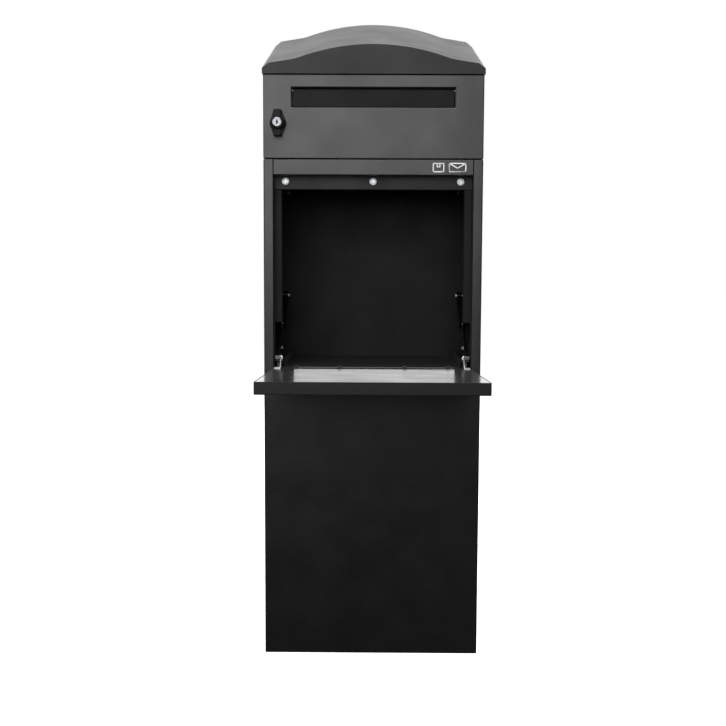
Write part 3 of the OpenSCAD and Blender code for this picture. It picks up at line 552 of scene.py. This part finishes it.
# ---- Letter door ----
# A folded tray of the same sheet over the letter compartment. The slot's edges are folded in,
# and the top of each fold catches the light.
door_low, door_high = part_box("mail_door_panel")
rim_low, rim_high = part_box("slot_frame")
RIM_FLANGE = 7 * MM
SLOT_HALF = rim_high.x - RIM_FLANGE
SLOT_Z = (rim_low.z + RIM_FLANGE, rim_high.z - RIM_FLANGE)
DOOR_BEND = 2.0 * MM
SLOT_BEND = 2.2 * MM
door = plate("letter_door", (door_low.x, door_high.x), (door_low.z, door_high.z), FRONT)
for side in (-1, 1):
    cut((side * SLOT_HALF, 0, 0), (1, 0, 0))
for level in SLOT_Z:
    cut((0, 0, level), (0, 0, 1))
remove(lambda c: abs(c.x) < SLOT_HALF and SLOT_Z[0] < c.z < SLOT_Z[1])


def on_slot(c):
    return abs(c.x) < SLOT_HALF + MM and SLOT_Z[0] - MM < c.z < SLOT_Z[1] + MM


fold(on_slot, (0, rim_high.y - FRONT, 0))
fold(lambda c: near(c.y, FRONT) and not on_slot(c), (0, door_high.y - FRONT, 0))
round_folds(DOOR_BEND, lambda c: not on_slot(c), 4)
round_folds(SLOT_BEND, on_slot, 4)
press(door, SHEET)
paint(door, coat)
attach(door, "mail_door")
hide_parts("mail_door_panel", "slot_frame")

# The slot's own flap hangs from a rod behind the top edge. It is thinner sheet with its lower
# edge turned in, and two wire springs hold it shut.
slot_low, slot_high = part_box("slot_flap")
SLOT_SHEET = 1.2 * MM
SLOT_FOLDS = (4 * MM, 3 * MM)
SLOT_FLAP_BEND = 0.8 * MM
slot_flap = plate("slot_flap_sheet", (slot_low.x, slot_high.x), (slot_low.z, slot_high.z - MM),
                  slot_low.y)
fold(lambda c: near(c.z, slot_low.z), (0, SLOT_FOLDS[0], 0))
fold(lambda c: near(c.z, slot_high.z - MM), (0, SLOT_FOLDS[1], 0))
round_folds(SLOT_FLAP_BEND)
press(slot_flap, SLOT_SHEET, 0.2 * MM)
# The slot flap has a duller coat than the door, painted darker in colour. The darker colour is
# painted shade, for the flap standing back in the slot.
paint(slot_flap, powder_coat("powder_coated_steel_slot_flap_painted_shade", "#09090a", "#101011", 0.5, 0.14, 0.0))
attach(slot_flap, "slot_flap")
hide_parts("slot_flap")
paint(nodes["slot_springs"], plated("drawn_spring_wire", "#77797b", "#9fa1a3", 0.35, 0.5 * MM))

# ---- Lock ----
# A wing-knob cam lock in glass-filled black plastic. The collar is fixed, the lozenge-shaped
# wing turns the cam, and the bright key plug in its middle locks the wing.
knob_low, knob_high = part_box("lock_knob")
collar_low, collar_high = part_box("lock_housing")
LOCK_X = (knob_low.x + knob_high.x) / 2
LOCK_Z = (knob_low.z + knob_high.z) / 2
COLLAR = [(9.4, 0), (9.4, 18.9), (14.6, 18.9), (15, 19.3), (15, 21.2), (14.2, 22)]
collar = turned("lock_collar", COLLAR, (LOCK_X, collar_high.y, LOCK_Z), (0, -1, 0))
knob_black = plastic("glass_filled_nylon_black", "#070707", "#0f0f0f", 0.42, 0.7 * MM, 0.03 * MM,
                     gloss=0.12)
paint(collar, knob_black)
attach(collar, "mail_door")
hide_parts("lock_housing")

HUB_R = 14 * MM
HUB = [(5.95, 0), (5.95, 24), (12.4, 24), (12.4, 40.6), (11.6, 41.8), (8.8, 42.3), (8.3, 40)]
BAR_HALF = 6.75 * MM
WING_HALF = (knob_high.z - knob_low.z) / 2
KNOB_BACK = collar_low.y - 0.3 * MM
WING_FRONT = knob_low.y + 5 * MM
LOZENGE_FRONT = KNOB_BACK - 7 * MM
LOZENGE_DRAFT = 0.94


def upright_disc(radius, y):
    """A flat ring of points on the lock's axis."""
    bpy.ops.object.select_all(action="DESELECT")
    bpy.ops.mesh.primitive_circle_add(vertices=SIDES, radius=radius, rotation=(math.pi / 2, 0, 0),
                                      location=(LOCK_X, y, LOCK_Z))
    bpy.ops.object.transform_apply(location=True, rotation=True, scale=True)
    return bpy.context.object


def wing_block(name, half_x, half_z, y):
    bpy.ops.object.select_all(action="DESELECT")
    bpy.ops.mesh.primitive_cube_add(size=1, location=(LOCK_X, sum(y) / 2, LOCK_Z))
    block = bpy.context.object
    block.name = name
    block.scale = (2 * half_x, abs(y[1] - y[0]), 2 * half_z)
    bpy.ops.object.transform_apply(location=True, rotation=True, scale=True)
    return block


lozenge = joined("knob_lozenge", [
    wing_block("lozenge_ends", BAR_HALF, WING_HALF, (KNOB_BACK, LOZENGE_FRONT)),
    upright_disc(HUB_R, KNOB_BACK), upright_disc(HUB_R * LOZENGE_DRAFT, LOZENGE_FRONT)])
bpy.ops.object.mode_set(mode="EDIT")
bpy.ops.mesh.select_all(action="SELECT")
bpy.ops.mesh.convex_hull()
press(lozenge, 0, 0.8 * MM)
wing_bar = wing_block("knob_bar", BAR_HALF, WING_HALF, (LOZENGE_FRONT + MM, WING_FRONT))
bpy.ops.object.mode_set(mode="EDIT")
press(wing_bar, 0, 1.0 * MM)
hub = turned("knob_hub", HUB, (LOCK_X, knob_high.y, LOCK_Z), (0, -1, 0))
knob = joined("wing_knob", [lozenge, wing_bar, hub])
paint(knob, knob_black)
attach(knob, "lock_knob")
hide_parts("lock_knob")

# The key plugs are turned brass with a satin nickel plate and a milled keyhole.
nickel = plated("nickel_plated_brass", "#75777a", "#8f9194", 0.34, 1.5 * MM)
paint(nodes["rear_lock_plug"], nickel)
plug_low, plug_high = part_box("lock_plug")
plug_r = (plug_high.x - plug_low.x) / 2 / MM
plug_len = (plug_high.y - plug_low.y) / MM
head = plug_len - 4.2
PLUG = [(5.4, 0), (5.4, head), (plug_r, head), (plug_r, plug_len - 0.5), (plug_r - 0.5, plug_len),
        (plug_r - 1.6, plug_len), (plug_r - 2, plug_len - 0.7)]
plug = turned("key_plug", PLUG, (LOCK_X, plug_high.y, LOCK_Z), (0, -1, 0))
keyway_y = (plug_low.y - MM, plug_low.y + 8 * MM)
cutter = joined("keyway", [wing_block("keyway_slot", 1.2 * MM, 3.9 * MM, keyway_y),
                           wing_block("keyway_ward", 2.1 * MM, 1.6 * MM, keyway_y)])
bpy.context.view_layer.objects.active = plug
keyway = plug.modifiers.new("keyway", "BOOLEAN")
keyway.operation = "DIFFERENCE"
keyway.use_self = True
keyway.object = cutter
bpy.ops.object.select_all(action="DESELECT")
plug.select_set(True)
bpy.ops.object.modifier_apply(modifier=keyway.name)
bpy.data.objects.remove(cutter)
paint(plug, nickel)
# Painted shade: the faces inside the keyway are the plug's own nickel-plated brass, and they get a
# near-black matt colour for the shade in the keyway.
keyway_painted_shade = plastic("keyway_in_shadow", "#050505", "#0a0a0a", 0.6, 0.8 * MM, 0.02 * MM)
paint_faces(plug, keyway_painted_shade, lambda c, n: abs(c.x - LOCK_X) < 2.3 * MM
            and abs(c.z - LOCK_Z) < 4 * MM and c.y > plug_low.y + MM)
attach(plug, "lock_plug")
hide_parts("lock_plug")

# ---- Parcel flap ----
# A hollow double-skinned flap: the outer pan is folded up on three sides and rolled round its
# pivot at the heel, and a flat cover is let into it. Both are drawn level, then tilted as it hangs.
pin_low, pin_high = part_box("flap_pivot_pins")
AXIS = Vector((0, (pin_low.y + pin_high.y) / 2, (pin_low.z + pin_high.z) / 2))
FLAP_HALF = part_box("flap_outer_skin")[1].x
FLAP_LEN = 361 * MM
FLAP_R = 10 * MM
LEAN = math.radians(2)
TILT = (Matrix.Translation(AXIS) @ Matrix.Rotation(-LEAN, 4, "X")
        @ Matrix.Translation(-AXIS))


def solid_block(name, low, high):
    bpy.ops.object.select_all(action="DESELECT")
    low, high = Vector(low), Vector(high)
    bpy.ops.mesh.primitive_cube_add(size=1, location=(low + high) / 2)
    piece = bpy.context.object
    piece.name = name
    piece.scale = high - low
    bpy.ops.object.transform_apply(location=True, rotation=True, scale=True)
    bpy.ops.object.mode_set(mode="EDIT")
    return piece


pan = solid_block("flap_pan", (-FLAP_HALF, AXIS.y - FLAP_LEN, AXIS.z - FLAP_R),
                  (FLAP_HALF, AXIS.y + FLAP_R, AXIS.z + FLAP_R))
pick("EDGE", lambda c, e: near(c.y, AXIS.y + FLAP_R) and near(abs(c.z - AXIS.z), FLAP_R))
bpy.ops.mesh.bevel(offset=FLAP_R * 0.999, segments=10, affect="EDGES")
remove(lambda c: near(c.z, AXIS.z + FLAP_R))
pick("EDGE", lambda c, e: len(e.link_faces) == 2 and e.calc_face_angle() > 0.6
     and c.y < AXIS.y - MM)
bpy.ops.mesh.bevel(offset=INNER_BEND, segments=3, affect="EDGES")
press(pan, SHEET, 0.3 * MM)
pan.data.transform(TILT)
paint(pan, powder_coat("powder_coated_steel_pan", "#0b0b0c", "#141415", 0.42, 0.25, 0.1))
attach(pan, "parcel_flap")
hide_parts("flap_outer_skin")

INSET = SHEET + 0.3 * MM
cover = solid_block("flap_cover",
                    (INSET - FLAP_HALF, AXIS.y - FLAP_LEN + INSET, AXIS.z + FLAP_R - SHEET),
                    (FLAP_HALF - INSET, AXIS.y - 0.3 * MM, AXIS.z + FLAP_R))
press(cover, 0, 0.4 * MM)
cover.data.transform(TILT)
# The cover has the smoothest coat of the box, which mirrors at a low angle what stands on it.
paint(cover, powder_coat("powder_coated_steel_cover", "#0a0a0b", "#151516", 0.19, sheen=0.02,
                         grain_depth=0.02 * MM))
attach(cover, "parcel_flap")
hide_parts("flap_inner_skin")
paint(nodes["flap_stiffener"], coat)
paint(nodes["flap_bushes"],
      plastic("natural_nylon", "#cfccc0", "#dedbd0", 0.45, 0.6 * MM, 0.02 * MM))

# The drop tray is one bent sheet behind the flap: a lap screwed over the heel, low side lips
# that keep the parcel straight, and a hemmed back edge.
tray_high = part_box("drop_tray")[1]
TRAY_TOP = AXIS.z + FLAP_R + SHEET
TRAY_IN = tray_high.x - SHEET
LAP = 25 * MM
LIP_Y = FRONT + 30 * MM
LIP_H = 14.5 * MM
HEM = 9.5 * MM
tray = solid_block("drop_tray_sheet", (-TRAY_IN, AXIS.y, TRAY_TOP - MM),
                   (TRAY_IN, tray_high.y, TRAY_TOP))
remove(lambda c: not near(c.z, TRAY_TOP))
cut((0, LIP_Y, 0), (0, 1, 0))
fold(lambda c: near(c.y, AXIS.y), (0, -LAP * math.cos(LEAN), LAP * math.sin(LEAN)))
fold(lambda c: near(c.y, tray_high.y), (0, 0, -HEM))
for side in (-1, 1):
    fold(lambda c: near(c.x, side * TRAY_IN) and c.y > LIP_Y and near(c.z, TRAY_TOP),
         (0, 0, LIP_H))
round_folds(BEND)
press(tray, SHEET)
# Painted shade: the tray, inside the opening, gets the darker inside coat.
paint(tray, inside_painted_shade_coat)
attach(tray, "parcel_flap")
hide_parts("drop_tray")
paint(nodes["flap_strut_brackets"],
      plated("bright_zinc_plate", "#8d9094", "#adb0b3", 0.35, 1.2 * MM))

# ---- Gas struts ----
# Each is a gloss-enamelled cylinder with a rolled gland, and a ground, hard-chromed rod, with
# an eye on each end. The eyes turn on studs in the side wall's bracket and beside the heel.
STRUT_X = 175.5 * MM
TUBE_END = Vector((STRUT_X, FRONT + 200 * MM, 670 * MM))
flap_stud_low, flap_stud_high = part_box("flap_strut_studs")
ROD_END = Vector((STRUT_X, (flap_stud_low.y + flap_stud_high.y) / 2,
                  (flap_stud_low.z + flap_stud_high.z) / 2))
enamel = powder_coat("gloss_black_enamel", "#0a0a0b", "#101011", 0.2, sheen=0.0)
hard_chrome = plated("hard_chromed_rod", "#a9acb0", "#c9cbce", 0.16, 2 * MM)
TUBE = [(4.2, 7), (4.2, 13.5), (6.6, 14), (7.5, 15.2), (7.5, 103.5), (7.1, 104.2), (7.1, 105.6),
        (7.5, 106.3), (7.5, 108.6), (6.7, 110), (4.4, 110), (4.4, 107)]
ROD = [(4.1, 6.5), (4.6, 7.5), (4.6, 15), (3.9, 16), (3, 16), (3, 183)]
EYE = [(7.9, 0), (8.5, 0.6), (8.5, 9.4), (7.9, 10)]
ROD_EYE_SIZE = 7.9 / 8.5
EYE_HALF = Vector((5 * MM, 0, 0))
for side, word in ((-1, "left"), (1, "right")):
    top = Vector((side * TUBE_END.x, TUBE_END.y, TUBE_END.z))
    low = Vector((side * ROD_END.x, ROD_END.y, ROD_END.z))
    down = (low - top).normalized()
    for end, outline, label, body, finish, slot in (
            (top, TUBE, "strut_cylinder_", "strut_tube_", enamel, "strut_black"),
            (low, ROD, "strut_piston_rod_", "strut_rod_", hard_chrome, "rod_chrome")):
        along = down if end is top else -down
        shank = turned("shank", outline, end, along)
        size = 1 if end is top else ROD_EYE_SIZE
        eye = turned("eye", [(r * size, h) for r, h in EYE], end - EYE_HALF, (1, 0, 0))
        paint(shank, finish)
        paint(eye, enamel)
        strut = joined(label + word, [shank, eye])
        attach(strut, body + word)
        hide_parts(body + word)

# ---- Rear door ----
# A folded door set flush in the back wall on two pins, with a plain cam lock. It opens the safe
# that the parcels drop into.
REAR_BEND = 1.8 * MM
rear = plate("rear_door_sheet", (rear_low.x, rear_high.x), (rear_low.z, rear_high.z), BACK,
             faces_front=False)
fold(lambda c: True, (0, rear_low.y - BACK, 0))
round_folds(REAR_BEND, segments=4)
press(rear, SHEET)
paint(rear, coat)
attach(rear, "rear_door")
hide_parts("rear_door_panel")

body_low, body_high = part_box("rear_lock_body")
BARREL = [(9.4, 0), (9.4, 16.3), (11.5, 16.3), (11.5, 17.6), (10.8, 18.6), (7.4, 18.7), (7.2, 17.2)]
barrel_start = ((body_low.x + body_high.x) / 2, body_low.y, (body_low.z + body_high.z) / 2)
rear_lock = turned("rear_lock_barrel", BARREL, barrel_start, (0, 1, 0))
paint(rear_lock, nickel)
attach(rear_lock, "rear_door")
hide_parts("rear_lock_body")

# ---- Stage ----
# A plain white floor and backdrop, and a camera at half the box's height. Soft light comes from
# large panels overhead and in front, two behind, and a weak one at each side.
bpy.ops.object.select_all(action="DESELECT")
bpy.ops.mesh.primitive_plane_add(size=60, location=(0, 0, -0.0005))
floor = bpy.context.object
floor.name = "studio_floor"
floor.visible_glossy = False
floor.visible_diffuse = False
floor_paint = bpy.data.materials.new("matt_white_floor")
floor_paint.use_nodes = True
floor_shader = floor_paint.node_tree.nodes["Principled BSDF"]
floor_shader.inputs["Base Color"].default_value = linear("#f4f4f4")
floor_shader.inputs["Roughness"].default_value = 0.9
floor_shader.inputs["Emission Color"].default_value = linear("#ffffff")
floor_shader.inputs["Emission Strength"].default_value = 0.95
paint(floor, floor_paint)


def soft_light(name, place, aim, size, power):
    light = bpy.data.lights.new(name, "AREA")
    light.shape = "RECTANGLE"
    light.size, light.size_y = size
    light.energy = power
    panel = bpy.data.objects.new(name, light)
    panel.location = place
    panel.rotation_euler = (Vector(aim) - Vector(place)).to_track_quat("-Z", "Y").to_euler()
    panel.visible_camera = False
    bpy.context.scene.collection.objects.link(panel)


soft_light("overhead_panel", (0, -0.5, 3.2), (0, -0.1, 0.8), (2.6, 2.2), 115)
soft_light("front_panel_light", (-0.6, -3.3, 1.8), (0, 0, 0.95), (2.6, 2.2), 77)
soft_light("rear_panel_light", (0, 3.0, 2.7), (0, 0, 1.1), (3.0, 1.4), 12)
soft_light("rear_low_light", (0, 3.3, 1.2), (0, 0, 0.7), (3.0, 1.8), 26)
# A faint panel in the opening, where a stack of paper would stand, for the flap to mirror.
soft_light("opening_card", (0.0037, FRONT + 0.006, 0.676), (0.0037, FRONT - 1, 0.676),
           (0.297, 0.267), 0.23)
soft_light("left_strip", (-2.8, 0.3, 1.3), (0, 0, 0.7), (1.2, 2.2), 26)
soft_light("right_strip", (2.8, 0.3, 1.3), (0, 0, 0.7), (1.2, 2.2), 22)

# The backdrop is white to the eye but lights the object only weakly, so that black stays black.
world = bpy.data.worlds.new("studio")
world.use_nodes = True
dim = world.node_tree.nodes["Background"]
dim.inputs["Color"].default_value = linear("#ffffff")
dim.inputs["Strength"].default_value = 0.06
backdrop = add_node(world, "ShaderNodeBackground", {"Color": linear("#ffffff"), "Strength": 1.0})
seen = add_node(world, "ShaderNodeLightPath").outputs["Is Camera Ray"]
either = add_node(world, "ShaderNodeMixShader")
world.node_tree.links.new(seen, either.inputs[0])
world.node_tree.links.new(dim.outputs[0], either.inputs[1])
world.node_tree.links.new(backdrop.outputs[0], either.inputs[2])
surface = world.node_tree.nodes["World Output"].inputs["Surface"]
world.node_tree.links.new(either.outputs[0], surface)
bpy.context.scene.world = world
bpy.context.scene.view_settings.view_transform = "Standard"

PICTURE = 726
FOCAL = 1060.2
camera_data = bpy.data.cameras.new("camera")
camera_data.sensor_width = 36
camera_data.lens = FOCAL / PICTURE * camera_data.sensor_width
camera = bpy.data.objects.new("camera", camera_data)
PAN, DOWN, ROLL = (math.radians(a) for a in (0.399, 5.229, 0.245))
look = (Matrix.Rotation(PAN, 4, "Z") @ Matrix.Rotation(math.pi / 2 - DOWN, 4, "X")
        @ Matrix.Rotation(ROLL, 4, "Z"))
camera.matrix_world = Matrix.Translation((-0.0035, FRONT - 1.950, 0.7295)) @ look
bpy.context.scene.collection.objects.link(camera)
bpy.context.scene.camera = camera
